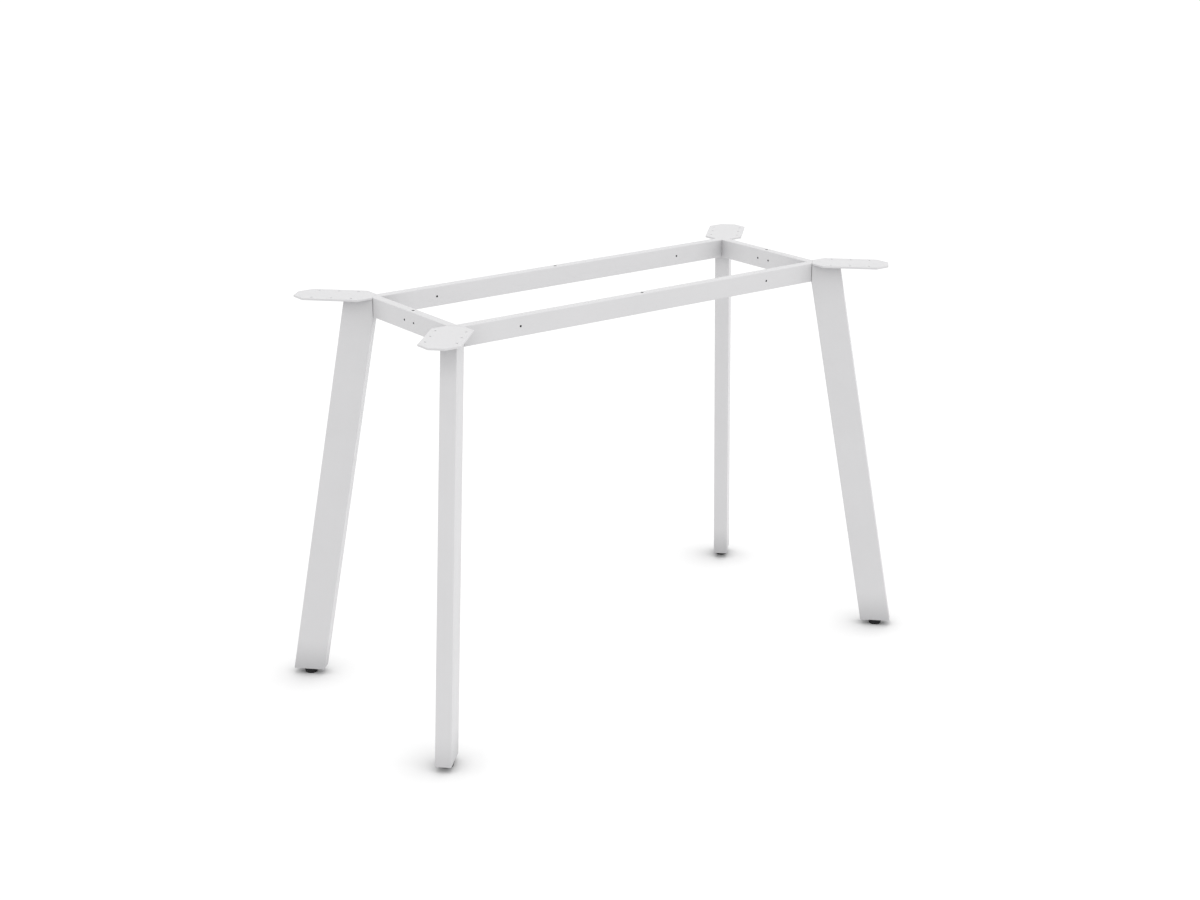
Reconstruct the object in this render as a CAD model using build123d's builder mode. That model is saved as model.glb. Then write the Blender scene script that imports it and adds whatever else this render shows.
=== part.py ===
from build123d import *
import os
from math import cos, radians, sin, sqrt, tan

# Steel underframe of a bar table. Four rails of rectangular tube are mitred into a
# level ring. A leg of larger tube leans outwards from each cut-off corner of the ring,
# with a flat mounting plate on its top and a screw foot in its lower end.
# The origin is on the floor under the middle of the ring, X runs along the long rails,
# Y along the short ones, and +Z is up. The front is the -Y side. Millimetres.

# Whole frame
frame_height = 1025.0
ring_length = 1150.0
ring_width = 395.0

# Rails: rectangular tube set on edge, with the bend radius measured inside
rail_height = 50.0
rail_thickness = 25.0
rail_wall = 1.5
rail_bend = 1.0

# Holes in the rails
side_hole_d = 5.5
top_hole_d = 8.0
long_side_spacing = 774.0
short_side_spacing = 42.0
long_top_shift = 13.0

# Legs: rectangular tube, broad faces along the 45 degree line of each corner
leg_width = 80.0
leg_thickness = 40.0
leg_wall = 2.0
leg_bend = 1.0
leg_lean = 10.0
leg_end_height = 15.0

# Open groove along each side of the seam between a leg and the ring
seam_groove = 1.2

# Mounting plates, each with a grid of screw holes
plate_length = 200.0
plate_width = 100.0
plate_thickness = 5.0
plate_edge = 0.6
plate_hole_d = 6.0
plate_hole_pitch = 50.0
plate_row_spacing = 73.0
plate_hole_count = 3

# Foot plate inside the lower end of each leg, and the weld nut on it
foot_plate_thickness = 4.0
foot_plate_clearance = 0.1
stud_clearance = 0.5
nut_flats = 17.0
nut_height = 8.0
nut_edge = 1.0

# Threaded stud, drawn at its outer diameter, with a round head in the plastic foot
stud_d = 10.0
stud_tip = 1.0
stud_spare = 2.0
stud_head_d = 18.0
stud_head_thickness = 3.0
thread_clearance = 0.05
level_travel = 10.0

# Plastic foot: a taper under a short round rim
foot_base_d = 32.0
foot_base_edge = 2.0
foot_body_d = 35.0
foot_rim_d = 38.0
foot_rim_height = 5.0
foot_rim_edge = 0.6
foot_sole = 3.5
foot_gap = 0.3
mould_clearance = 0.05

# Sizes that follow from the values above
lean = radians(leg_lean)
slope = tan(lean)
seat = leg_thickness / 2
seat_run = seat * sqrt(2)
leg_section = leg_width / cos(lean)
leg_centre = -seat - slope * rail_height + leg_section / 2
foot_centre = leg_centre + slope * (frame_height - leg_end_height)
leg_top_height = frame_height - plate_thickness
foot_plate_top = leg_end_height + foot_plate_thickness
nut_top = foot_plate_top + nut_height
stud_top = nut_top + level_travel + stud_spare
foot_height = leg_end_height - foot_gap
stud_head_top = foot_sole + stud_head_thickness

CORNERS = {
    "front_left": (-1, -1),
    "front_right": (1, -1),
    "back_left": (-1, 1),
    "back_right": (1, 1),
}


def save(piece, name):
    """Label a finished piece and write it as the node of that name."""
    piece.part.label = name
    export_step(piece.part, f"parts/{name}.step")


def rail_plane(outward):
    """Plane on top of the ring at the middle of a rail's outer face, with Y pointing inwards."""
    out = Vector(*outward)
    middle = Vector(out.X * ring_length / 2, out.Y * ring_width / 2, frame_height)
    return Plane(origin=middle, x_dir=(-out.Y, out.X, 0), z_dir=(0, 0, 1))


def corner_plane(signs):
    """Plane on top of the ring where two outer faces would meet, with X outwards at 45 degrees."""
    corner = Vector(signs[0] * ring_length / 2, signs[1] * ring_width / 2, frame_height)
    return Plane(origin=corner, x_dir=(signs[0], signs[1], 0), z_dir=(0, 0, 1))


def leg_axis_plane(corner):
    """Plane square to a leaning leg at the height of the ring's top, with X across its broad face."""
    across = corner.x_dir * cos(lean) + corner.z_dir * sin(lean)
    along = corner.z_dir * cos(lean) - corner.x_dir * sin(lean)
    return Plane(origin=corner.from_local_coords((leg_centre, 0, 0)), x_dir=across, z_dir=along)


def floor_plane(corner):
    """Plane on the floor under the foot of a corner, with X pointing outwards."""
    middle = corner.from_local_coords((foot_centre, 0, -frame_height))
    return Plane(origin=middle, x_dir=corner.x_dir, z_dir=(0, 0, 1))


def upright(floor):
    """Upright plane through a foot's axis, with X as the radius and Y as the height."""
    return Plane(origin=floor.origin, x_dir=floor.x_dir, z_dir=-floor.y_dir)


def make_rail(plane, length, side_spacing, top_shift):
    """One rail: tube with mitred ends, cut off square to the 45 degree line where the leg seats."""
    section = Plane(
        origin=plane.from_local_coords((0, rail_thickness / 2, -rail_height / 2)),
        x_dir=plane.y_dir,
        z_dir=plane.x_dir,
    )
    outer_face = Plane(
        origin=plane.from_local_coords((0, 0, -rail_height / 2)),
        x_dir=plane.x_dir,
        z_dir=-plane.y_dir,
    )
    half = length / 2
    groove_run = seam_groove / sqrt(2)
    with BuildPart() as rail:
        with BuildSketch(section):
            RectangleRounded(rail_thickness, rail_height, rail_bend + rail_wall)
            RectangleRounded(
                rail_thickness - 2 * rail_wall,
                rail_height - 2 * rail_wall,
                rail_bend,
                mode=Mode.SUBTRACT,
            )
        extrude(amount=half, both=True)
        with BuildSketch(plane):
            with BuildLine():
                Polyline(
                    (0, rail_thickness),
                    (half - rail_thickness, rail_thickness),
                    (half - seat_run / 2, seat_run / 2),
                    (half - seat_run + groove_run, groove_run),
                    (half - seat_run - seam_groove, 0),
                    (0, 0),
                )
                mirror(about=Plane.YZ)
            make_face()
        extrude(amount=-rail_height, mode=Mode.INTERSECT)
        with Locations(outer_face):
            with GridLocations(side_spacing, 0, 2, 1):
                Hole(side_hole_d / 2, depth=rail_thickness)
        with Locations(plane):
            with Locations((top_shift, rail_thickness / 2)):
                Hole(top_hole_d / 2, depth=rail_height)
    return rail


def make_leg(corner):
    """One leg: leaning tube with level ends, trimmed upright where it seats against the ring."""
    axis = leg_axis_plane(corner)
    seat_plane = Plane(
        origin=corner.from_local_coords((-seat, 0, 0)), x_dir=corner.y_dir, z_dir=corner.x_dir
    )
    run = (frame_height + 2 * leg_width) / cos(lean)
    with BuildPart() as leg:
        with BuildSketch(axis.offset(leg_width)):
            RectangleRounded(leg_width, leg_thickness, leg_bend + leg_wall)
            RectangleRounded(
                leg_width - 2 * leg_wall,
                leg_thickness - 2 * leg_wall,
                leg_bend,
                mode=Mode.SUBTRACT,
            )
        extrude(amount=-run)
        split(bisect_by=Plane.XY.offset(leg_end_height), keep=Keep.TOP)
        split(bisect_by=Plane.XY.offset(leg_top_height), keep=Keep.BOTTOM)
        split(bisect_by=seat_plane, keep=Keep.TOP)
        with BuildSketch(corner):
            with BuildLine():
                Polyline(
                    (-seat, seat),
                    (-seat + seam_groove, seat),
                    (-seat, seat - seam_groove),
                    close=True,
                )
            make_face()
            mirror(about=Plane.XZ)
        extrude(amount=-rail_height, mode=Mode.SUBTRACT)
    return leg


def make_mounting_plate(corner):
    """Eight-sided plate on a leg's top, whose ends are as wide as the leg is thick."""
    middle = -seat + plate_length / 2
    with BuildPart() as plate:
        with BuildSketch(corner):
            with Locations((middle, 0)):
                outline = Rectangle(plate_length, plate_width)
            chamfer(outline.vertices(), length=(plate_width - leg_thickness) / 2)
            with Locations((middle, 0)):
                with GridLocations(plate_hole_pitch, plate_row_spacing, plate_hole_count, 2):
                    Circle(plate_hole_d / 2, mode=Mode.SUBTRACT)
        extrude(amount=-plate_thickness)
        straight = plate.edges().filter_by(GeomType.LINE)
        chamfer(straight.filter_by(Plane.XY), length=plate_edge)
    return plate


def make_foot_plate(corner):
    """Steel plate that fills the lower end of a leg flush, with a hole for the stud."""
    axis = leg_axis_plane(corner)
    floor = floor_plane(corner)
    inset = 2 * (leg_wall + foot_plate_clearance)
    run = (frame_height + 2 * leg_width) / cos(lean)
    with BuildPart() as plate:
        with BuildSketch(axis):
            RectangleRounded(leg_width - inset, leg_thickness - inset, leg_bend)
        extrude(amount=-run)
        split(bisect_by=Plane.XY.offset(leg_end_height), keep=Keep.TOP)
        split(bisect_by=Plane.XY.offset(foot_plate_top), keep=Keep.BOTTOM)
        with Locations(floor.offset(foot_plate_top)):
            Hole(stud_d / 2 + stud_clearance, depth=foot_plate_thickness)
    return plate


def make_weld_nut(floor):
    """Hexagon nut on the foot plate, with the corners of its upper end turned off."""
    nut_radius = nut_flats / sqrt(3)
    with BuildPart() as nut:
        with BuildSketch(floor.offset(foot_plate_top)):
            RegularPolygon(nut_flats / 2, 6, major_radius=False)
            Circle(stud_d / 2 + thread_clearance, mode=Mode.SUBTRACT)
        extrude(amount=nut_height)
        with BuildSketch(upright(floor)):
            with BuildLine():
                Polyline(
                    (0, foot_plate_top),
                    (nut_radius, foot_plate_top),
                    (nut_radius, nut_top - nut_edge),
                    (nut_flats / 2, nut_top),
                    (0, nut_top),
                    close=True,
                )
            make_face()
        revolve(axis=Axis(floor.origin, floor.z_dir), mode=Mode.INTERSECT)
    return nut


def make_foot_stud(floor):
    """Stud that screws through the weld nut, with a round head held in the plastic foot."""
    with BuildPart() as stud:
        with BuildSketch(upright(floor)):
            with BuildLine():
                Polyline(
                    (0, foot_sole),
                    (stud_head_d / 2, foot_sole),
                    (stud_head_d / 2, stud_head_top),
                    (stud_d / 2, stud_head_top),
                    (stud_d / 2, stud_top - stud_tip),
                    (stud_d / 2 - stud_tip, stud_top),
                    (0, stud_top),
                    close=True,
                )
            make_face()
        revolve(axis=Axis(floor.origin, floor.z_dir))
    return stud


def make_foot(floor):
    """Plastic foot: a tapered body under a wider rim, moulded round the head of the stud."""
    rim_base = foot_height - foot_rim_height
    shank = stud_d / 2 + mould_clearance
    pocket = stud_head_d / 2 + mould_clearance
    with BuildPart() as foot:
        with BuildSketch(upright(floor)) as profile:
            with BuildLine():
                Polyline(
                    (0, 0),
                    (foot_base_d / 2, 0),
                    (foot_body_d / 2, rim_base),
                    (foot_rim_d / 2, rim_base),
                    (foot_rim_d / 2, foot_height),
                    (0, foot_height),
                    close=True,
                )
            make_face()
            chamfer(profile.vertices().sort_by(Axis.X)[-2:], length=foot_rim_edge)
            chamfer(profile.vertices().group_by(Axis.Y)[0].sort_by(Axis.X)[-1], length=foot_base_edge)
            with BuildLine():
                Polyline(
                    (0, foot_sole - mould_clearance),
                    (pocket, foot_sole - mould_clearance),
                    (pocket, stud_head_top + mould_clearance),
                    (shank, stud_head_top + mould_clearance),
                    (shank, foot_height),
                    (0, foot_height),
                    close=True,
                )
            make_face(mode=Mode.SUBTRACT)
        revolve(axis=Axis(floor.origin, floor.z_dir))
    return foot


os.makedirs("parts", exist_ok=True)

# The ring
save(make_rail(rail_plane((0, -1)), ring_length, long_side_spacing, -long_top_shift), "long_rail_front")
save(make_rail(rail_plane((0, 1)), ring_length, long_side_spacing, long_top_shift), "long_rail_back")
save(make_rail(rail_plane((-1, 0)), ring_width, short_side_spacing, 0), "short_rail_left")
save(make_rail(rail_plane((1, 0)), ring_width, short_side_spacing, 0), "short_rail_right")

# Everything that each corner carries
for place, signs in CORNERS.items():
    top = corner_plane(signs)
    ground = floor_plane(top)
    save(make_leg(top), f"leg_{place}")
    save(make_mounting_plate(top), f"mounting_plate_{place}")
    save(make_foot_plate(top), f"foot_plate_{place}")
    save(make_weld_nut(ground), f"weld_nut_{place}")
    save(make_foot_stud(ground), f"foot_stud_{place}")
    save(make_foot(ground), f"foot_{place}")
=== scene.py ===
import math

import bmesh
import bpy
from mathutils import Matrix, Vector


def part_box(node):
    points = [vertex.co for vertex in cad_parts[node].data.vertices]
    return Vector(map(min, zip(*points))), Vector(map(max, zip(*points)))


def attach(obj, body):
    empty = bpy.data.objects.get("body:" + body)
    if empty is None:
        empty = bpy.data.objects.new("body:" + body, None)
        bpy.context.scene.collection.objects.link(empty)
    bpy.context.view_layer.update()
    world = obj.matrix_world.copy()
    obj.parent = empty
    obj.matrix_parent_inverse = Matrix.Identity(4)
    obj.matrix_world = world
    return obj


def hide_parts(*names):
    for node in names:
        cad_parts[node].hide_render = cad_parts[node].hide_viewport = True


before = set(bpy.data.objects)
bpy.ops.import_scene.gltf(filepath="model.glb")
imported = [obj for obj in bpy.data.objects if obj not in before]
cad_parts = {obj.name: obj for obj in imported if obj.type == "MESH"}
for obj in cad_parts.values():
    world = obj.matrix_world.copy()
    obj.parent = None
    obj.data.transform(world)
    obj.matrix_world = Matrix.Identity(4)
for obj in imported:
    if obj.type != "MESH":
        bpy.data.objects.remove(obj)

bl_info = {
    "name": "Bar Table Frame",
    "version": (1, 0, 0),
    "blender": (4, 5, 0),
    "location": "3D View > Sidebar > Table Frame",
    "description": "Finishes a steel bar table frame: powder coat, welds, screw feet and a studio",
    "category": "Object",
}

MM = 0.001
X, Y, Z = range(3)
SAME_HEIGHT = 0.1 * MM
SAME_POINT = 0.002 * MM
SAME_COUNT = 0.25
CORNER_RAYS = 8
EDGE_RAYS = 4
SENSOR_WIDTH = 36
PLACES = ("front_left", "front_right", "back_left", "back_right")
LONG_RAILS = ("long_rail_front", "long_rail_back")
SHORT_RAILS = ("short_rail_left", "short_rail_right")
COAT_NAME = "white_powder_coat_finish"


# Places on the frame

class CornerFrame:
    """The level directions of one corner: outwards along the leg's broad faces, and across them."""

    def __init__(self, place):
        side = 1 if place.endswith("right") else -1
        depth = 1 if place.startswith("back") else -1
        self.out = Vector((side, depth, 0)).normalized()
        self.across = Vector((-self.out.y, self.out.x, 0))
        long_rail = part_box("long_rail_back")[1]
        short_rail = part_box("short_rail_right")[1]
        self.origin = Vector((side * short_rail.x, depth * long_rail.y, 0))

    def reach(self, node, height):
        """How far a CAD node reaches outwards and across at a height: two pairs, lowest and highest."""
        spots = [
            point.co - self.origin
            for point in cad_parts[node].data.vertices
            if abs(point.co.z - height) < SAME_HEIGHT
        ]
        outs = [spot.dot(self.out) for spot in spots]
        across = [spot.dot(self.across) for spot in spots]
        return (min(outs), max(outs)), (min(across), max(across))

    def point(self, out, across, height):
        """The point at a distance outwards and across from the corner, at a height."""
        return self.origin + self.out * out + self.across * across + Vector((0, 0, height))


# Node trees

class NodeWriter:
    """Adds nodes to a tree and links them, so that a formula reads in the order it is worked out."""

    def __init__(self, tree):
        self.tree = tree

    def add(self, kind, inputs=None, **settings):
        """Adds a node with its settings, and feeds its inputs by name."""
        node = self.tree.nodes.new(kind)
        for name, value in settings.items():
            setattr(node, name, value)
        for name, value in (inputs or {}).items():
            self.feed(node.inputs[name], value)
        return node

    def feed(self, socket, value):
        """Links an output to a socket, or sets the socket's own value."""
        if isinstance(value, bpy.types.NodeSocket):
            self.tree.links.new(value, socket)
        elif socket.type == "RGBA":
            socket.default_value = (*value[:3], 1)
        else:
            socket.default_value = value

    def math(self, operation, *values, clamp=False):
        """One sum on numbers or outputs."""
        node = self.tree.nodes.new("ShaderNodeMath")
        node.operation = operation
        node.use_clamp = clamp
        for socket, value in zip(node.inputs, values):
            self.feed(socket, value)
        return node.outputs[0]

    def ramp(self, value, from_low, from_high, to_low=0.0, to_high=1.0):
        """A value carried over from one range to another, and held at its ends."""
        return self.add("ShaderNodeMapRange", {
            "Value": value,
            "From Min": from_low,
            "From Max": from_high,
            "To Min": to_low,
            "To Max": to_high,
        }).outputs["Result"]

    def vector(self, **parts):
        """A vector from its parts."""
        return self.add("ShaderNodeCombineXYZ", parts).outputs["Vector"]

    def vectors(self, operation, *values, scale=None):
        """One sum on vectors."""
        node = self.tree.nodes.new("ShaderNodeVectorMath")
        node.operation = operation
        for socket, value in zip(node.inputs, values):
            self.feed(socket, value)
        if scale is not None:
            self.feed(node.inputs["Scale"], scale)
        return node.outputs["Vector"]


# Finishes

def new_material(name):
    """A material with one Principled shader, and the writer and shader to finish it with."""
    material = bpy.data.materials.new(name)
    material.use_nodes = True
    material.node_tree.nodes.clear()
    writer = NodeWriter(material.node_tree)
    shader = writer.add("ShaderNodeBsdfPrincipled")
    writer.add("ShaderNodeOutputMaterial", {"Surface": shader.outputs["BSDF"]})
    return material, writer, shader


def noise(writer, size, detail=2.0, roughness=0.5):
    """Noise on Object coordinates, whose blotches are about one size across, in metres."""
    place = writer.add("ShaderNodeTexCoord").outputs["Object"]
    return writer.add("ShaderNodeTexNoise", {
        "Vector": place,
        "Scale": 1 / size,
        "Detail": detail,
        "Roughness": roughness,
    }).outputs["Fac"]


def spread(writer, value, low=0.0, high=1.0):
    """The middle of a noise's range, where nearly all of it lies, stretched to low and high."""
    middle_low, middle_high = 0.3, 0.7
    return writer.ramp(value, middle_low, middle_high, low, high)


def between(writer, share, one, other):
    """A colour that goes from one to the other with the share."""
    mix = writer.add("ShaderNodeMix", data_type="RGBA")
    writer.feed(mix.inputs["Factor"], share)
    first, second = [socket for socket in mix.inputs if socket.type == "RGBA"]
    writer.feed(first, one)
    writer.feed(second, other)
    return next(socket for socket in mix.outputs if socket.type == "RGBA")


def scaled(colour, factor):
    """A colour made lighter or darker."""
    return tuple(channel * factor for channel in colour)


def closeness(writer, reach):
    """Share of the space in front of a surface that something fills within a reach."""
    looker = writer.add("ShaderNodeAmbientOcclusion", {"Distance": reach}, samples=CORNER_RAYS)
    return writer.math("SUBTRACT", 1, looker.outputs["AO"])


def grain(writer, shader, height, relief, edge=None):
    """Bump of a height in metres, with the edges softened by a radius where one is given."""
    bump = writer.add("ShaderNodeBump", {"Height": relief, "Distance": height})
    if edge:
        soft = writer.add("ShaderNodeBevel", {"Radius": edge}, samples=EDGE_RAYS)
        writer.feed(bump.inputs["Normal"], soft.outputs["Normal"])
    writer.feed(shader.inputs["Normal"], bump.outputs["Normal"])


def depth_in_tube(writer, node, section, radius):
    """How deep a point lies under the outer faces of a tube, whose section lies along two axes."""
    low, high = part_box(node)
    place = writer.add("ShaderNodeTexCoord").outputs["Object"]
    parts = writer.add("ShaderNodeSeparateXYZ", {"Vector": place}).outputs
    past = []
    for axis in section:
        middle = (low[axis] + high[axis]) / 2
        flat = (high[axis] - low[axis]) / 2 - radius
        off_middle = writer.math("ABSOLUTE", writer.math("SUBTRACT", parts[axis], middle))
        past.append(writer.math("SUBTRACT", off_middle, flat))

    # How far a point lies past the centre of the bend, or past the nearer flat face
    bends = [writer.math("POWER", writer.math("MAXIMUM", distance, 0), 2) for distance in past]
    round_bend = writer.math("SQRT", writer.math("ADD", *bends))
    by_flat = writer.math("MINIMUM", writer.math("MAXIMUM", *past), 0)
    return writer.math("SUBTRACT", writer.math("SUBTRACT", radius, round_bend), by_flat)


def powder_coat(coat, loss, piece="", section=None):
    """White powder coat: a satin orange peel that drifts a little, with painted shade in inside corners.

    The loss is the share by which a closed-in spot's colour is darkened towards the painted shade
    colour, a painted ambient occlusion. Where a piece of tube is given
    with the two axes of its section, its inner walls stay bare: the powder doesn't reach them.
    """
    name = COAT_NAME + (f"_{piece}" if piece else "")
    material, writer, shader = new_material(name)
    drift = noise(writer, coat.drift_size)
    full = tuple(coat.colour)
    colour = between(writer, spread(writer, drift), scaled(full, 1 - coat.drift), full)
    # Painted shade: where ambient occlusion finds something within the reach, as in inside corners, under
    # the plates and in holes, the colour is darkened towards the painted shade colour
    painted_corner_share = writer.math("MULTIPLY", closeness(writer, coat.painted_shade_reach), loss)
    colour = between(writer, painted_corner_share, colour, tuple(coat.painted_shade_colour))
    if section:
        depth = depth_in_tube(writer, piece, section, coat.rail_radius)
        bare = writer.ramp(depth, coat.bare_start * coat.rail_wall, coat.bare_end * coat.rail_wall)
        colour = between(writer, bare, colour, tuple(coat.bare_colour))
    writer.feed(shader.inputs["Base Color"], colour)
    cloud = noise(writer, coat.gloss_size)
    writer.feed(shader.inputs["Roughness"], spread(writer, cloud, coat.gloss_low, coat.gloss_high))
    peel = noise(writer, coat.peel_size, detail=3.0)
    grain(writer, shader, coat.peel_height, peel, edge=coat.edge_radius)
    return material


def moulded_plastic(foot):
    """Black moulded plastic with a fine spark-eroded grain."""
    material, writer, shader = new_material("black_plastic_finish")
    drift = spread(writer, noise(writer, foot.drift_size))
    black = tuple(foot.colour)
    writer.feed(shader.inputs["Base Color"], between(writer, drift, black, tuple(foot.grey_colour)))
    pores = noise(writer, foot.grain_size, detail=4.0, roughness=0.6)
    writer.feed(shader.inputs["Roughness"], spread(writer, pores, foot.gloss_low, foot.gloss_high))
    shader.inputs["Specular IOR Level"].default_value = foot.shine
    grain(writer, shader, foot.grain_height, pores)
    return material


def zinc_plate(stud):
    """Bright zinc plate: cloudy, a little blue, with a fine crystal grain."""
    material, writer, shader = new_material("zinc_plated_steel_finish")
    clouds = spread(writer, noise(writer, stud.cloud_size, detail=3.0))
    dull, bright = tuple(stud.dull_colour), tuple(stud.colour)
    writer.feed(shader.inputs["Base Color"], between(writer, clouds, dull, bright))
    crystals = noise(writer, stud.crystal_size)
    writer.feed(shader.inputs["Roughness"], spread(writer, crystals, stud.gloss_low, stud.gloss_high))
    shader.inputs["Metallic"].default_value = 1.0
    grain(writer, shader, stud.crystal_height, crystals)
    return material


def finish_nodes(names, material):
    """Gives CAD nodes a finish through the slots that they already have."""
    for name in names:
        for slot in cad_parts[name].material_slots:
            slot.material = material


# Pieces that grow from a formula

def new_tree(name, **kinds):
    """A geometry tree with named inputs: each a size in metres, a share, a count or a material."""
    sockets = {
        "size": "NodeSocketFloat",
        "share": "NodeSocketFloat",
        "count": "NodeSocketInt",
        "material": "NodeSocketMaterial",
    }
    tree = bpy.data.node_groups.new(name, "GeometryNodeTree")
    tree.interface.new_socket("Geometry", in_out="INPUT", socket_type="NodeSocketGeometry")
    for label, kind in kinds.items():
        tree.interface.new_socket(label, in_out="INPUT", socket_type=sockets[kind])
    tree.interface.new_socket("Geometry", in_out="OUTPUT", socket_type="NodeSocketGeometry")
    writer = NodeWriter(tree)
    return tree, writer, writer.add("NodeGroupInput").outputs


def close_tree(writer, given, geometry):
    """Ends a tree: doubles merged, instances made real and the material set."""
    merged = writer.add("GeometryNodeMergeByDistance", {"Geometry": geometry, "Distance": SAME_POINT})
    real = writer.add("GeometryNodeRealizeInstances", {"Geometry": merged.outputs["Geometry"]})
    finished = writer.add("GeometryNodeSetMaterial", {
        "Geometry": real.outputs["Geometry"],
        "Material": given["material"],
    })
    writer.add("NodeGroupOutput", {"Geometry": finished.outputs["Geometry"]})


def sheet(writer, columns, rows):
    """A grid of faces, and the column and row that each of its points stands in."""
    grid = writer.add("GeometryNodeMeshGrid", {
        "Size X": 1.0,
        "Size Y": 1.0,
        "Vertices X": columns,
        "Vertices Y": rows,
    })
    spot = writer.add("GeometryNodeInputPosition").outputs["Position"]
    parts = writer.add("ShaderNodeSeparateXYZ", {"Vector": spot}).outputs
    numbers = []
    for part, count in ((parts["X"], columns), (parts["Y"], rows)):
        share = writer.math("ADD", part, 0.5)
        steps = writer.math("SUBTRACT", count, 1)
        numbers.append(writer.math("ROUND", writer.math("MULTIPLY", share, steps)))
    return grid.outputs["Mesh"], *numbers


def closed_rows(writer, row, rows):
    """Distance along the sheet from 0 to 1, the same for an end row and its neighbour.

    The second result is nought on the end rows, which so shrink to a point and close the ends.
    """
    last = writer.math("SUBTRACT", rows, 2)
    inner = writer.math("MINIMUM", writer.math("MAXIMUM", row, 1), last)
    along = writer.math("DIVIDE", writer.math("SUBTRACT", inner, 1), writer.math("SUBTRACT", last, 1))
    return along, writer.math("COMPARE", row, inner, SAME_COUNT)


def round_place(writer, radius, turns, height):
    """The point at a radius and a share of a turn round the Z axis, at a height."""
    angle = writer.math("MULTIPLY", turns, math.tau)
    return writer.vector(
        X=writer.math("MULTIPLY", radius, writer.math("COSINE", angle)),
        Y=writer.math("MULTIPLY", radius, writer.math("SINE", angle)),
        Z=height,
    )


def shaped(writer, mesh, places):
    """A mesh with its points at new places."""
    return writer.add("GeometryNodeSetPosition", {
        "Geometry": mesh,
        "Position": places,
    }).outputs["Geometry"]


def grow(name, tree, values, points=()):
    """Runs a tree on a line of seed points, and returns the result as an object with a plain mesh."""
    line = bpy.data.meshes.new(name + "_seed")
    line.from_pydata(points, [(step, step + 1) for step in range(len(points) - 1)], [])
    seed = bpy.data.objects.new(name + "_seed", line)
    bpy.context.scene.collection.objects.link(seed)
    modifier = seed.modifiers.new("growth", "NODES")
    modifier.node_group = tree
    for socket in tree.interface.items_tree:
        if socket.in_out == "INPUT" and socket.name in values:
            modifier[socket.identifier] = values[socket.name]
    graph = bpy.context.evaluated_depsgraph_get()
    graph.update()
    mesh = bpy.data.meshes.new_from_object(seed.evaluated_get(graph), depsgraph=graph)
    seed.modifiers.remove(modifier)
    bpy.data.objects.remove(seed)
    if not mesh.polygons:
        raise RuntimeError(f"{name} has no faces")
    mesh.name = name
    turn_outwards(mesh)
    piece = bpy.data.objects.new(name, mesh)
    bpy.context.scene.collection.objects.link(piece)
    return piece


def turn_outwards(mesh):
    """Turns the faces of a closed mesh outwards."""
    shell = bmesh.new()
    shell.from_mesh(mesh)
    inside_out = shell.calc_volume(signed=True) < 0
    shell.free()
    if inside_out:
        mesh.flip_normals()


def smooth(piece, sharp_angle):
    """Smooth shading, with edges past an angle kept sharp."""
    piece.data.shade_smooth()
    piece.data.set_sharp_from_angle(angle=sharp_angle)


def thread_tree():
    """A stud on a round head, whose radius dips along a screw line once a pitch."""
    tree, writer, given = new_tree(
        "screw_thread",
        diameter="size",
        pitch="size",
        depth="size",
        length="size",
        tip="size",
        steps_round="count",
        rows="count",
        head_diameter="size",
        head_thickness="size",
        material="material",
    )
    calc = writer.math
    flat, column, row = sheet(writer, calc("ADD", given["steps_round"], 1), given["rows"])
    turns = calc("DIVIDE", column, given["steps_round"])
    along, keeps = closed_rows(writer, row, given["rows"])
    height = calc("MULTIPLY", along, given["length"])

    # No depth on a crest an eighth of a pitch wide, full depth in a root twice as wide
    crest, root = 1 / 8, 6 / 8
    phase = calc("FRACT", calc("SUBTRACT", calc("DIVIDE", height, given["pitch"]), turns))
    wave = calc("ABSOLUTE", calc("SUBTRACT", calc("MULTIPLY", phase, 2), 1))
    dip = writer.ramp(wave, crest, root)
    run_out = calc("DIVIDE", height, given["pitch"], clamp=True)
    cut = calc("MULTIPLY", calc("MULTIPLY", dip, given["depth"]), run_out)
    outer = calc("DIVIDE", given["diameter"], 2)
    below_end = calc("SUBTRACT", given["length"], height)
    tip = calc("ADD", calc("SUBTRACT", outer, given["tip"]), below_end)
    radius = calc("MULTIPLY", calc("MINIMUM", calc("SUBTRACT", outer, cut), tip), keeps)
    shank = shaped(writer, flat, round_place(writer, radius, turns, height))

    disc = writer.add("GeometryNodeMeshCylinder", {
        "Vertices": given["steps_round"],
        "Radius": calc("DIVIDE", given["head_diameter"], 2),
        "Depth": given["head_thickness"],
    })
    head = writer.add("GeometryNodeTransform", {
        "Geometry": disc.outputs["Mesh"],
        "Translation": writer.vector(Z=calc("DIVIDE", given["head_thickness"], -2)),
    })
    whole = writer.add("GeometryNodeJoinGeometry", {"Geometry": shank})
    writer.feed(whole.inputs["Geometry"], head.outputs["Geometry"])
    close_tree(writer, given, whole.outputs["Geometry"])
    return tree


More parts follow.
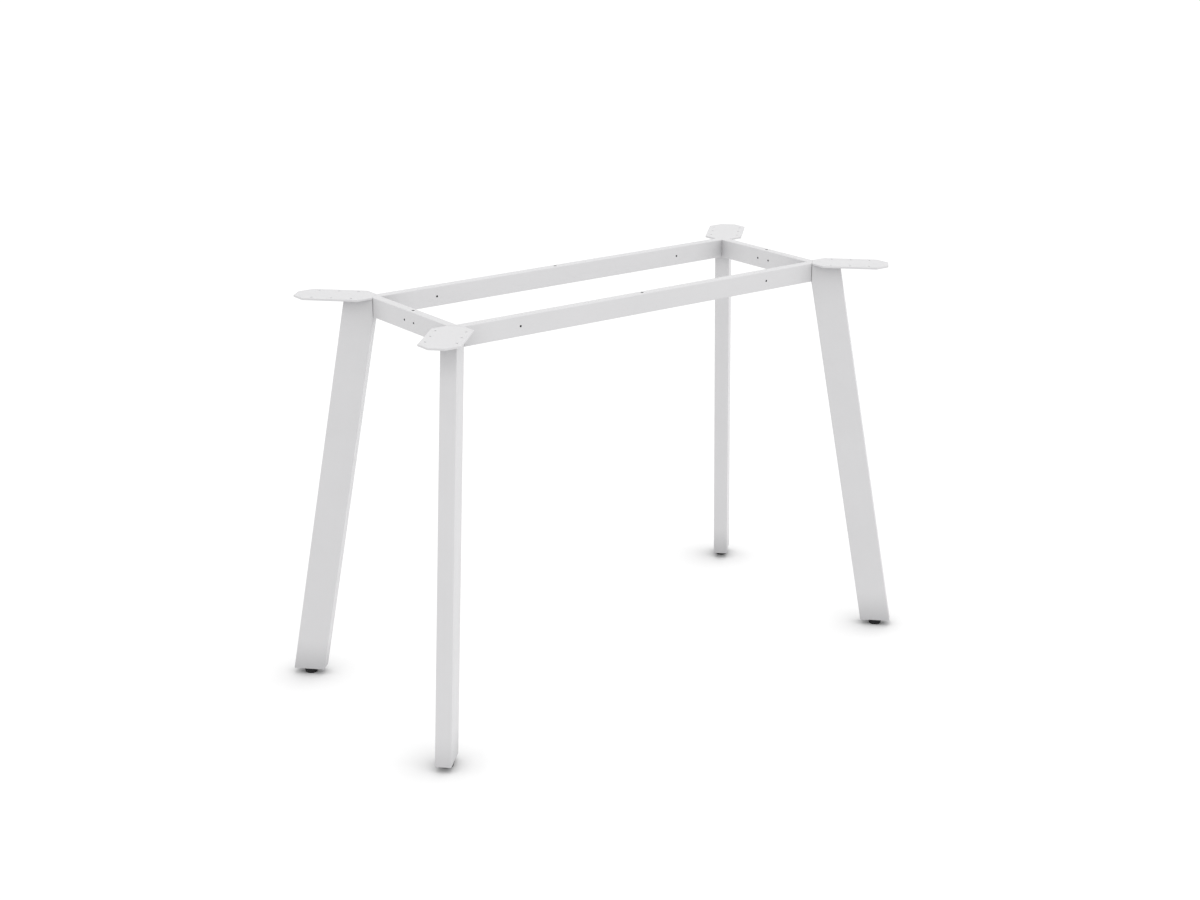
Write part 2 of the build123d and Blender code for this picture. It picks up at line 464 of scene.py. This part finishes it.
def foot_tree():
    """A turned shape with notches: seed points hold a radius, how far a notch may cut, and a height."""
    tree, writer, given = new_tree(
        "notched_foot",
        notches="count",
        notch_depth="size",
        steps_round="count",
        material="material",
    )
    calc = writer.math
    counted = writer.add("GeometryNodeAttributeDomainSize", {"Geometry": given["Geometry"]})
    rows = counted.outputs["Point Count"]
    flat, column, row = sheet(writer, calc("ADD", given["steps_round"], 1), rows)
    turns = calc("DIVIDE", column, given["steps_round"])
    profile = writer.add("GeometryNodeSampleIndex", {
        "Geometry": given["Geometry"],
        "Value": writer.add("GeometryNodeInputPosition").outputs["Position"],
        "Index": row,
    }, data_type="FLOAT_VECTOR").outputs["Value"]
    parts = writer.add("ShaderNodeSeparateXYZ", {"Vector": profile}).outputs

    # A squared wave leaves broad lands between narrow notches
    angle = calc("MULTIPLY", calc("MULTIPLY", turns, given["notches"]), math.tau)
    wave = calc("DIVIDE", calc("ADD", calc("COSINE", angle), 1), 2)
    cut = calc("MULTIPLY", calc("MULTIPLY", calc("MULTIPLY", wave, wave), given["notch_depth"]), parts["Y"])
    radius = calc("SUBTRACT", parts["X"], cut)
    turned = shaped(writer, flat, round_place(writer, radius, turns, parts["Z"]))
    close_tree(writer, given, turned)
    return tree


def bead_tree():
    """A fillet weld along a level line, hanging under a flat face and outwards to the line's right."""
    tree, writer, given = new_tree(
        "weld_bead",
        leg="size",
        root="size",
        bulge="share",
        ripple="size",
        ripple_depth="share",
        steps_per_ripple="count",
        corner_radius="size",
        material="material",
    )
    calc = writer.math
    corner_steps = 6
    path = writer.add("GeometryNodeMeshToCurve", {"Mesh": given["Geometry"]}).outputs["Curve"]
    path = writer.add("GeometryNodeFilletCurve", {
        "Curve": path,
        "Count": corner_steps,
        "Radius": given["corner_radius"],
        "Limit Radius": True,
    }, mode="POLY").outputs["Curve"]
    length = writer.add("GeometryNodeCurveLength", {"Curve": path}).outputs["Length"]
    step = calc("DIVIDE", given["ripple"], given["steps_per_ripple"])
    rows = calc("ROUND", calc("ADD", calc("DIVIDE", length, step), 3))

    # Columns 0 to 8 lie on the bead's face, 9 is its root, and 10 closes the section at column 0
    face_steps = 8
    flat, column, row = sheet(writer, face_steps + 3, rows)
    on_face = calc("LESS_THAN", column, face_steps + 1.5)
    is_root = calc("COMPARE", column, face_steps + 1, SAME_COUNT)
    share = calc("MULTIPLY", calc("MINIMUM", calc("DIVIDE", column, face_steps), 1), on_face)
    angle = calc("MULTIPLY", share, math.pi / 2)
    along, keeps = closed_rows(writer, row, rows)
    walked = calc("MULTIPLY", along, length)
    place = writer.add("GeometryNodeSampleCurve", {
        "Curves": path,
        "Length": walked,
    }, mode="LENGTH", use_all_curves=True).outputs

    # Each ripple lags in the middle of the bead, as the crescents of a weld do
    lag, thin_end = 0.6, 0.5
    across = calc("SINE", calc("MULTIPLY", share, math.pi))
    bow = calc("MULTIPLY", across, lag)
    phase = calc("FRACT", calc("ADD", calc("DIVIDE", walked, given["ripple"]), bow))
    swell = calc("SINE", calc("MULTIPLY", phase, math.pi))
    loss = calc("MULTIPLY", calc("SUBTRACT", 1, swell), given["ripple_depth"])
    start = calc("DIVIDE", walked, given["leg"], clamp=True)
    end = calc("DIVIDE", calc("SUBTRACT", length, walked), given["leg"], clamp=True)
    run_out = calc("ADD", thin_end, calc("MULTIPLY", calc("MULTIPLY", start, end), 1 - thin_end))
    size = calc("MULTIPLY", calc("MULTIPLY", given["leg"], calc("SUBTRACT", 1, loss)), run_out)

    # From the centre of the section: a straight face between the two legs, bulged in the middle
    sines = calc("ADD", calc("SINE", angle), calc("COSINE", angle))
    bulged = calc("ADD", 1, calc("MULTIPLY", across, given["bulge"]))
    ray = calc("MULTIPLY", calc("DIVIDE", size, sines), bulged)
    sunk = calc("MULTIPLY", is_root, given["root"])
    shown = calc("SUBTRACT", 1, is_root)
    outward = calc("SUBTRACT", calc("MULTIPLY", calc("MULTIPLY", ray, calc("COSINE", angle)), shown), sunk)
    downward = calc("SUBTRACT", calc("MULTIPLY", calc("MULTIPLY", ray, calc("SINE", angle)), shown), sunk)
    end_point = calc("DIVIDE", given["leg"], 4)
    middle = calc("MULTIPLY", end_point, calc("SUBTRACT", 1, keeps))
    outward = calc("ADD", calc("MULTIPLY", outward, keeps), middle)
    downward = calc("ADD", calc("MULTIPLY", downward, keeps), middle)
    right = writer.vectors("CROSS_PRODUCT", place["Tangent"], (0, 0, 1))
    aside = writer.vectors("SCALE", writer.vectors("NORMALIZE", right), scale=outward)
    down = writer.vector(Z=calc("MULTIPLY", downward, -1))
    spot = writer.vectors("ADD", writer.vectors("ADD", place["Position"], aside), down)
    close_tree(writer, given, shaped(writer, flat, spot))
    return tree


def softened(corners, steps=4):
    """A line through corners, each (radius, notch, height, softening), with the corners rounded."""
    line = []
    for number, (*here, softening) in enumerate(corners):
        here = Vector(here)
        if not softening:
            line.append(here)
            continue
        before = Vector(corners[number - 1][:3])
        after = Vector(corners[number + 1][:3])
        ends = []
        for other in (before, after):
            side = other - here
            run = math.hypot(side.x, side.z)
            ends.append(here + side * min(softening / run, 0.5))
        for step in range(steps + 1):
            share = step / steps
            line.append(
                ends[0] * (1 - share) ** 2 + here * 2 * share * (1 - share) + ends[1] * share ** 2
            )
    return line


# Settings that a user would change

def size_property(name, description, default):
    """A length in metres."""
    return bpy.props.FloatProperty(
        name=name, description=description, default=default, min=0, unit="LENGTH", precision=5,
    )


def share_property(name, description, default):
    """A share from none to all."""
    return bpy.props.FloatProperty(
        name=name, description=description, default=default, min=0, max=1, subtype="FACTOR",
    )


def colour_property(name, description, default):
    """A linear colour."""
    return bpy.props.FloatVectorProperty(
        name=name, description=description, default=default, size=3, min=0, max=1, subtype="COLOR",
    )


def count_property(name, description, default):
    """A count of steps or pieces."""
    return bpy.props.IntProperty(name=name, description=description, default=default, min=1)


def angle_property(name, description, degrees):
    """An angle."""
    return bpy.props.FloatProperty(
        name=name, description=description, default=math.radians(degrees), unit="ROTATION",
    )


class CoatSettings(bpy.types.PropertyGroup):
    """White powder coat on the tubes and plates."""

    colour: colour_property("Colour", "Colour of the powder coat", (0.800, 0.796, 0.806))
    drift: share_property("Drift", "How far the shade drifts from place to place", 0.02)
    drift_size: size_property("Drift size", "Length over which the shade drifts", 0.12)
    gloss_low: share_property("Lowest roughness", "Roughness where the coat is glossiest", 0.40)
    gloss_high: share_property("Highest roughness", "Roughness where the coat is dullest", 0.50)
    gloss_size: size_property("Gloss size", "Length over which the gloss changes", 0.0064)
    peel_size: size_property("Peel size", "Width of one dimple of the orange peel", 0.0016)
    peel_height: size_property("Peel height", "Height of the orange peel", 0.00003)
    edge_radius: size_property("Edge radius", "Rounding that the coat gives a cut edge", 0.0006)
    # The next four settings paint shade: they darken the coat's colour in inside corners, under the plates
    # and in holes, found by ambient occlusion
    painted_shade_reach: size_property("Corner reach", "How far from an inside corner the coat is thin", 0.10)
    corner_painted_shade: share_property("Corner loss", "How much of the coat an inside corner lacks", 0.9)
    plate_painted_shade: share_property("Plate loss", "How much of the coat the plates' holes lack", 0.2)
    painted_shade_colour: colour_property("Corner colour", "Colour where the coat is thin", (0.25, 0.25, 0.26))
    bare_colour: colour_property("Bare colour", "Colour of the rails' bare inside", (0.07, 0.07, 0.075))
    bare_start: share_property("Bare start", "Share of the wall at which the coat gets thin", 0.15)
    bare_end: share_property("Bare end", "Share of the wall at which the coat has ended", 0.5)
    rail_wall: size_property("Rail wall", "Wall of the rails", 0.0015)
    rail_radius: size_property("Rail radius", "Outer bend radius of the rails", 0.0025)


class FootSettings(bpy.types.PropertyGroup):
    """Plastic part of the levelling feet."""

    colour: colour_property("Colour", "Colour of the plastic", (0.010, 0.010, 0.011))
    grey_colour: colour_property("Grey", "Colour where the plastic is greyer", (0.0160, 0.0160, 0.0176))
    drift_size: size_property("Drift size", "Length over which the shade drifts", 0.0048)
    gloss_low: share_property("Lowest roughness", "Roughness where the plastic is glossiest", 0.48)
    gloss_high: share_property("Highest roughness", "Roughness where the plastic is dullest", 0.62)
    shine: share_property("Shine", "How strongly the plastic mirrors, where 0.5 is usual", 0.3)
    grain_size: size_property("Grain size", "Width of one pore of the moulded grain", 0.0004)
    grain_height: size_property("Grain height", "Depth of the moulded grain", 0.00002)
    base_diameter: size_property("Base diameter", "Diameter of the foot on the floor", 0.032)
    base_edge: size_property("Base edge", "Rounding of the lower edge", 0.002)
    body_diameter: size_property("Body diameter", "Diameter of the body just under the rim", 0.035)
    rim_height: size_property("Rim height", "Height of the rim", 0.005)
    rim_edge: size_property("Rim edge", "Rounding of the rim's edges", 0.0006)
    recess_diameter: size_property("Recess diameter", "Diameter of the hollow in the sole", 0.022)
    recess_depth: size_property("Recess depth", "Depth of the hollow in the sole", 0.0008)
    sole: size_property("Sole", "Plastic under the head of the stud", 0.0035)
    hole_clearance: size_property("Hole clearance", "Gap round the stud and its head", 0.00005)
    notches: count_property("Notches", "Grip notches round the rim", 24)
    notch_depth: size_property("Notch depth", "Depth of a grip notch", 0.0006)
    steps_per_notch: count_property("Steps per notch", "Faces round the foot for each notch", 8)
    sharp_angle: angle_property("Sharp angle", "Turn past which an edge of the foot stays sharp", 40)


class StudSettings(bpy.types.PropertyGroup):
    """Threaded studs of the levelling feet, and the weld nuts that they turn in."""

    colour: colour_property("Colour", "Colour of the zinc plate", (0.68, 0.69, 0.71))
    dull_colour: colour_property("Dull colour", "Colour of the cloudy patches", (0.585, 0.607, 0.660))
    cloud_size: size_property("Cloud size", "Size of the cloudy patches in the plating", 0.004)
    crystal_size: size_property("Crystal size", "Width of a crystal of the plating", 0.0004)
    crystal_height: size_property("Crystal height", "Height of a crystal of the plating", 0.00001)
    gloss_low: share_property("Lowest roughness", "Roughness where the plating is brightest", 0.24)
    gloss_high: share_property("Highest roughness", "Roughness where the plating is dullest", 0.36)
    diameter: size_property("Thread diameter", "Outer diameter of the thread", 0.010)
    pitch: size_property("Pitch", "Rise of the thread in one turn", 0.0015)
    depth: size_property("Thread depth", "Depth of the thread from crest to root", 0.00092)
    tip: size_property("Tip", "Chamfer at the upper end of the stud", 0.001)
    head_thickness: size_property("Head thickness", "Thickness of the head in the plastic", 0.003)
    steps_round: count_property("Steps round", "Faces round the stud", 48)
    steps_per_turn: count_property("Steps per turn", "Rows of faces in one pitch", 8)
    sharp_angle: angle_property("Sharp angle", "Turn past which an edge of the stud stays sharp", 40)


class WeldSettings(bpy.types.PropertyGroup):
    """Fillet welds under the mounting plates and under the ring."""

    leg: size_property("Leg", "Width of the bead on each of its two surfaces", 0.0024)
    root: size_property("Root", "How far the bead reaches into the metal", 0.0006)
    bulge: share_property("Bulge", "How far the bead's face stands out in the middle", 0.15)
    ripple: size_property("Ripple", "Length of one ripple of the bead", 0.0018)
    ripple_depth: share_property("Ripple depth", "How much thinner the bead is between ripples", 0.12)
    steps: count_property("Steps per ripple", "Rows of faces in one ripple", 4)
    corner_radius: size_property("Corner radius", "Radius of the bead round the leg's corners", 0.003)
    margin: size_property("Margin", "Distance of a bead's ends from the seam with the ring", 0.0022)
    sharp_angle: angle_property("Sharp angle", "Turn past which an edge of the bead stays sharp", 50)


class StageSettings(bpy.types.PropertyGroup):
    """Studio round the frame: floor, light and camera."""

    floor_size: size_property("Floor size", "Side of the square floor", 160)
    floor_grey: share_property("Floor grey", "Share of the light that the floor sends on", 0.80)
    floor_white: bpy.props.FloatProperty(
        name="Floor white", description="Share of the light that the camera sees on the floor",
        min=0, default=1.12,
    )
    # These two settings paint shadow into the floor's colour round the feet
    painted_shadow_reach: size_property("Contact reach", "How far from a foot the floor is shaded more", 0.12)
    painted_shadow_depth: share_property("Contact loss", "How much light the floor loses right at a foot", 0.45)
    sky: bpy.props.FloatProperty(
        name="Sky", description="Strength of the even light from all round", min=0, default=0.85,
    )
    lamp_power: bpy.props.FloatProperty(
        name="Lamp power", description="Strength of the soft lamp", min=0, default=0.48,
    )
    lamp_width: angle_property("Lamp width", "Angle that the soft lamp fills", 100)
    lamp_from: bpy.props.FloatVectorProperty(
        name="Lamp direction", description="Direction from the frame to the lamp",
        subtype="DIRECTION", size=3, default=(0.9, -0.5, 1.2),
    )
    camera_place: bpy.props.FloatVectorProperty(
        name="Camera place", description="Where the camera stands",
        subtype="TRANSLATION", size=3, default=(-2.8625, -3.8118, 2.1436),
    )
    camera_heading: angle_property("Camera heading", "Turn of the camera from +Y", -36.8604)
    camera_drop: angle_property("Camera drop", "How far the camera looks below level", 18.3562)
    lens: bpy.props.FloatProperty(
        name="Lens", description="Focal length in millimetres on a 36 mm sensor", min=10, default=57.236,
    )


# Operators, one for each group of pieces

class FRAME_OT_coat(bpy.types.Operator):
    """Gives the rails, legs and plates their powder coat"""

    bl_idname = "table_frame.coat"
    bl_label = "Powder coat"

    def execute(self, context):
        coat = context.scene.frame_coat
        for name in LONG_RAILS:
            finish_nodes([name], powder_coat(coat, coat.corner_painted_shade, name, section=(Y, Z)))
        for name in SHORT_RAILS:
            finish_nodes([name], powder_coat(coat, coat.corner_painted_shade, name, section=(X, Z)))
        # The plates get their own share of painted shade in their holes and corners
        plates = powder_coat(coat, coat.plate_painted_shade, "mounting_plates")
        finish_nodes([f"mounting_plate_{place}" for place in PLACES], plates)
        plain = powder_coat(coat, coat.corner_painted_shade)
        for part in ("leg", "foot_plate"):
            finish_nodes([f"{part}_{place}" for place in PLACES], plain)
        return {"FINISHED"}


class FRAME_OT_welds(bpy.types.Operator):
    """Lays the fillet welds under the mounting plates and under the ring"""

    bl_idname = "table_frame.welds"
    bl_label = "Welds"

    def execute(self, context):
        weld = context.scene.frame_weld
        tree = bead_tree()
        values = {
            "leg": weld.leg,
            "root": weld.root,
            "bulge": weld.bulge,
            "ripple": weld.ripple,
            "ripple_depth": weld.ripple_depth,
            "steps_per_ripple": weld.steps,
            "corner_radius": weld.corner_radius,
            "material": bpy.data.materials[COAT_NAME],
        }
        for place in PLACES:
            spots = CornerFrame(place)
            leg = f"leg_{place}"
            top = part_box(leg)[1].z
            (inner, outer), (right, left) = spots.reach(leg, top)
            start = inner + weld.margin
            round_leg = [(start, right), (outer, right), (outer, left), (start, left)]
            line = [spots.point(*spot, top) for spot in round_leg]
            self.lay(weld, f"plate_weld_{place}", tree, values, line)
            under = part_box("long_rail_front")[0].z
            near, far = right + weld.margin, left - weld.margin
            line = [spots.point(inner, far, under), spots.point(inner, near, under)]
            self.lay(weld, f"ring_weld_{place}", tree, values, line)
        return {"FINISHED"}

    def lay(self, weld, name, tree, values, points):
        """Lays one bead along a line of points."""
        bead = grow(name, tree, values, points)
        smooth(bead, weld.sharp_angle)
        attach(bead, "frame")


class FRAME_OT_studs(bpy.types.Operator):
    """Cuts the threads of the studs, and plates them and their weld nuts"""

    bl_idname = "table_frame.studs"
    bl_label = "Threaded studs"

    def execute(self, context):
        stud = context.scene.frame_stud
        zinc = zinc_plate(stud)
        finish_nodes([f"weld_nut_{place}" for place in PLACES], zinc)
        tree = thread_tree()
        for place in PLACES:
            low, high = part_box(f"foot_stud_{place}")
            length = high.z - low.z - stud.head_thickness
            piece = grow(f"threaded_stud_{place}", tree, {
                "diameter": stud.diameter,
                "pitch": stud.pitch,
                "depth": stud.depth,
                "length": length,
                "tip": stud.tip,
                "steps_round": stud.steps_round,
                "rows": round(length / stud.pitch * stud.steps_per_turn) + 3,
                "head_diameter": high.x - low.x,
                "head_thickness": stud.head_thickness,
                "material": zinc,
            })
            middle = (low + high) / 2
            base = Vector((middle.x, middle.y, low.z + stud.head_thickness))
            piece.data.transform(Matrix.Translation(base))
            smooth(piece, stud.sharp_angle)
            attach(piece, f"levelling_foot_{place}")
            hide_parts(f"foot_stud_{place}")
        return {"FINISHED"}


class FRAME_OT_feet(bpy.types.Operator):
    """Moulds the plastic feet with their rims and grip notches"""

    bl_idname = "table_frame.feet"
    bl_label = "Plastic feet"

    def execute(self, context):
        foot = context.scene.frame_foot
        plastic = moulded_plastic(foot)
        tree = foot_tree()
        for place in PLACES:
            low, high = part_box(f"foot_{place}")
            stud_low, stud_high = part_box(f"foot_stud_{place}")
            profile = foot_profile(
                foot,
                rim_radius=(high.x - low.x) / 2,
                height=high.z - low.z,
                head_radius=(stud_high.x - stud_low.x) / 2,
                stud=context.scene.frame_stud,
            )
            piece = grow(f"moulded_foot_{place}", tree, {
                "notches": foot.notches,
                "notch_depth": foot.notch_depth,
                "steps_round": foot.notches * foot.steps_per_notch,
                "material": plastic,
            }, profile)
            middle = (low + high) / 2
            piece.data.transform(Matrix.Translation((middle.x, middle.y, low.z)))
            smooth(piece, foot.sharp_angle)
            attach(piece, f"levelling_foot_{place}")
            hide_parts(f"foot_{place}")
        return {"FINISHED"}


def foot_profile(foot, rim_radius, height, head_radius, stud):
    """Half section of a foot, from the middle of the sole round the outside to the stud's pocket."""
    rim_base = height - foot.rim_height
    base, body = foot.base_diameter / 2, foot.body_diameter / 2
    recess = foot.recess_diameter / 2
    pocket_top = foot.sole + stud.head_thickness + foot.hole_clearance
    pocket = head_radius + foot.hole_clearance
    shank = stud.diameter / 2 + foot.hole_clearance
    edge, soft = foot.rim_edge, foot.rim_edge / 2
    return softened([
        (0, 0, foot.recess_depth, 0),
        (recess - foot.recess_depth, 0, foot.recess_depth, soft),
        (recess, 0, 0, soft),
        (base, 0, 0, foot.base_edge),
        (body, 0, rim_base, soft),
        (rim_radius, 1, rim_base, edge),
        (rim_radius, 1, height, edge),
        (shank + edge, 0, height, soft),
        (shank, 0, height - edge, soft),
        (shank, 0, pocket_top, 0),
        (pocket, 0, pocket_top, 0),
        (pocket, 0, foot.sole - foot.hole_clearance, 0),
        (0, 0, foot.sole - foot.hole_clearance, 0),
    ])


class FRAME_OT_stage(bpy.types.Operator):
    """Sets up the floor, the even sky, the soft lamp and the camera"""

    bl_idname = "table_frame.stage"
    bl_label = "Studio"

    def execute(self, context):
        stage = context.scene.frame_stage
        lay_floor(stage)
        light_sky(context.scene, stage)
        hang_lamp(stage)
        place_camera(context.scene, stage)
        context.scene.view_settings.view_transform = "Standard"
        return {"FINISHED"}


def straight_rays(writer):
    """One for what the camera sees directly, in gloss or through glass, and nought for the rest."""
    path = writer.add("ShaderNodeLightPath").outputs
    mirrored = writer.math("MAXIMUM", path["Is Glossy Ray"], path["Is Transmission Ray"])
    return writer.math("MAXIMUM", path["Is Camera Ray"], mirrored)


def lay_floor(stage):
    """A pale floor that the camera sees as white, with the frame's shadow on it and a painted contact
    shadow darkening its colour round the feet.
    """
    half = stage.floor_size / 2
    mesh = bpy.data.meshes.new("floor")
    corners = [(-half, -half, 0), (half, -half, 0), (half, half, 0), (-half, half, 0)]
    mesh.from_pydata(corners, [], [(0, 1, 2, 3)])
    floor = bpy.data.objects.new("floor", mesh)
    bpy.context.scene.collection.objects.link(floor)
    material = bpy.data.materials.new("studio_floor")
    material.use_nodes = True
    material.node_tree.nodes.clear()
    writer = NodeWriter(material.node_tree)
    # Painted shadow: the floor's colour as the camera sees it is darkened where ambient occlusion finds the
    # feet and legs near
    painted_contact_share = writer.math("MULTIPLY", closeness(writer, stage.painted_shadow_reach), stage.painted_shadow_depth)
    white = writer.math("MULTIPLY", writer.math("SUBTRACT", 1, painted_contact_share), stage.floor_white)
    seen = writer.ramp(straight_rays(writer), 0, 1, stage.floor_grey, white)
    matt = writer.add("ShaderNodeBsdfDiffuse", {"Color": writer.vector(X=seen, Y=seen, Z=seen)})
    writer.add("ShaderNodeOutputMaterial", {"Surface": matt.outputs["BSDF"]})
    mesh.materials.append(material)


def light_sky(scene, stage):
    """Even light from all round, which the camera sees as plain white."""
    world = bpy.data.worlds.new("studio_sky")
    world.use_nodes = True
    world.node_tree.nodes.clear()
    writer = NodeWriter(world.node_tree)
    strength = writer.ramp(straight_rays(writer), 0, 1, stage.sky, 1.0)
    sky = writer.add("ShaderNodeBackground", {"Color": (1, 1, 1), "Strength": strength})
    writer.add("ShaderNodeOutputWorld", {"Surface": sky.outputs["Background"]})
    scene.world = world


def hang_lamp(stage):
    """One wide, soft lamp, far away."""
    lamp = bpy.data.lights.new("soft_lamp", "SUN")
    lamp.energy = stage.lamp_power
    lamp.angle = stage.lamp_width
    holder = bpy.data.objects.new("soft_lamp", lamp)
    holder.rotation_euler = Vector(stage.lamp_from).to_track_quat("Z", "Y").to_euler()
    bpy.context.scene.collection.objects.link(holder)


def place_camera(scene, stage):
    """The camera at the photograph's place, heading and lens."""
    camera = bpy.data.cameras.new("camera")
    camera.sensor_width = SENSOR_WIDTH
    camera.lens = stage.lens
    holder = bpy.data.objects.new("camera", camera)
    holder.location = stage.camera_place
    holder.rotation_euler = (math.pi / 2 - stage.camera_drop, 0, stage.camera_heading)
    scene.collection.objects.link(holder)
    scene.camera = holder


class FRAME_PT_panel(bpy.types.Panel):
    """The operators in their order, each with its settings"""

    bl_label = "Table Frame"
    bl_idname = "FRAME_PT_panel"
    bl_space_type = "VIEW_3D"
    bl_region_type = "UI"
    bl_category = "Table Frame"

    def draw(self, context):
        for operator, label, kind in STEPS:
            box = self.layout.box()
            box.operator(operator.bl_idname)
            for name in kind.__annotations__:
                box.prop(getattr(context.scene, label), name)


# Each operator with the name and kind of its settings, in working order
STEPS = (
    (FRAME_OT_coat, "frame_coat", CoatSettings),
    (FRAME_OT_welds, "frame_weld", WeldSettings),
    (FRAME_OT_studs, "frame_stud", StudSettings),
    (FRAME_OT_feet, "frame_foot", FootSettings),
    (FRAME_OT_stage, "frame_stage", StageSettings),
)


def register():
    for operator, label, kind in STEPS:
        bpy.utils.register_class(kind)
        setattr(bpy.types.Scene, label, bpy.props.PointerProperty(type=kind))
        bpy.utils.register_class(operator)
    bpy.utils.register_class(FRAME_PT_panel)


def unregister():
    bpy.utils.unregister_class(FRAME_PT_panel)
    for operator, label, kind in reversed(STEPS):
        bpy.utils.unregister_class(operator)
        delattr(bpy.types.Scene, label)
        bpy.utils.unregister_class(kind)


def clear_default_objects():
    """Removes the cube, lamp and camera of a new Blender file."""
    for name in ("Cube", "Light", "Camera"):
        if name in bpy.data.objects:
            bpy.data.objects.remove(bpy.data.objects[name])


def main():
    clear_default_objects()
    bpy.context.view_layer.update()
    register()
    bpy.ops.table_frame.coat()
    bpy.ops.table_frame.welds()
    bpy.ops.table_frame.studs()
    bpy.ops.table_frame.feet()
    bpy.ops.table_frame.stage()


if __name__ == "__main__":
    main()
